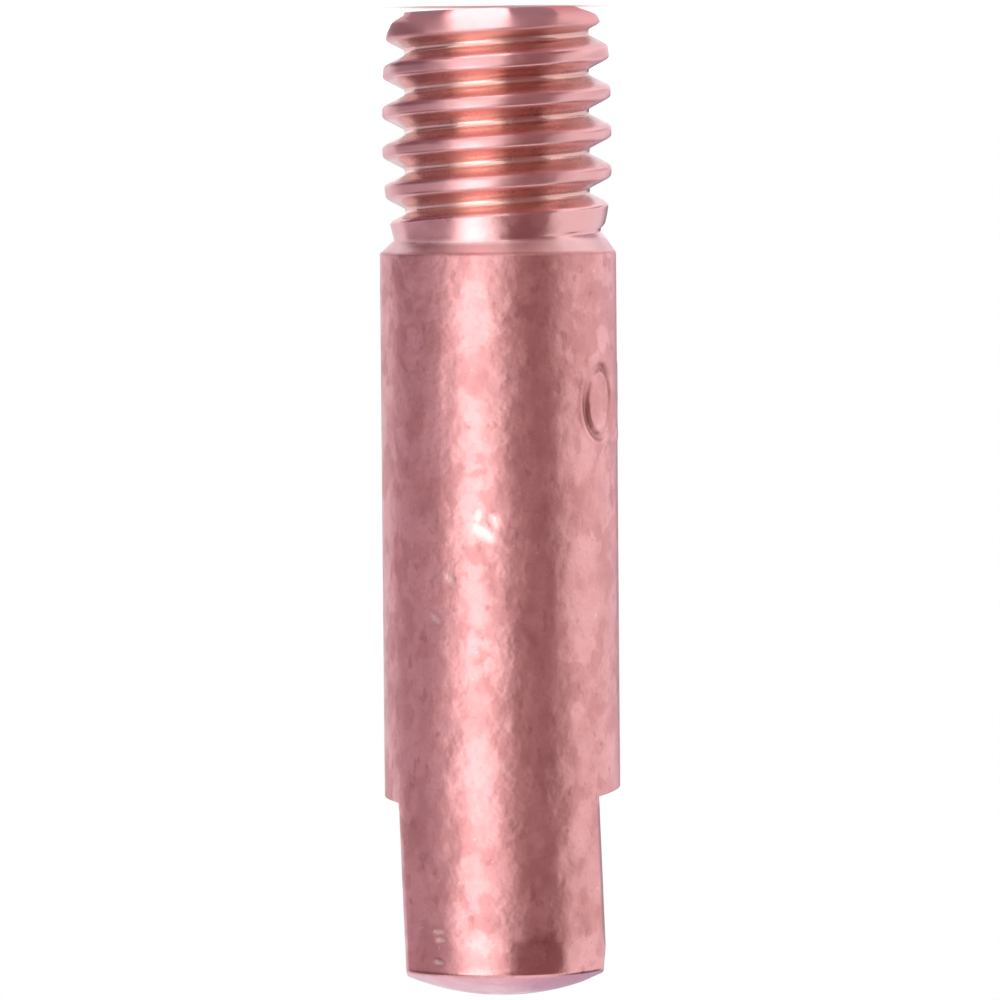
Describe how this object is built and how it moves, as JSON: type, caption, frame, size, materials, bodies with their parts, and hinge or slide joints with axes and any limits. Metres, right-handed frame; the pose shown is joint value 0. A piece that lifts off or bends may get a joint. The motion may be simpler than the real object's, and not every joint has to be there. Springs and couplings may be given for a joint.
{
  "type": "welding contact tip",
  "caption": "Slim copper contact tip for a wire-feed welding torch, with a threaded shank, plain round body, wrench flats, a domed front end and a through bore for the wire.",
  "frame": {"origin": "centre of the flat face of the threaded end, on which the tip stands", "axes": "+Z along the tip's axis, from the threaded end to the domed end that the wire leaves by; the wrench flats face +X and -X"},
  "size_m": [0.006, 0.006, 0.025],
  "materials": {
    "copper": "bare pink copper, satin and mottled by handling"
  },
  "bodies": {
    "root": {"contact_tip": "copper"}
  },
  "joints": []
}
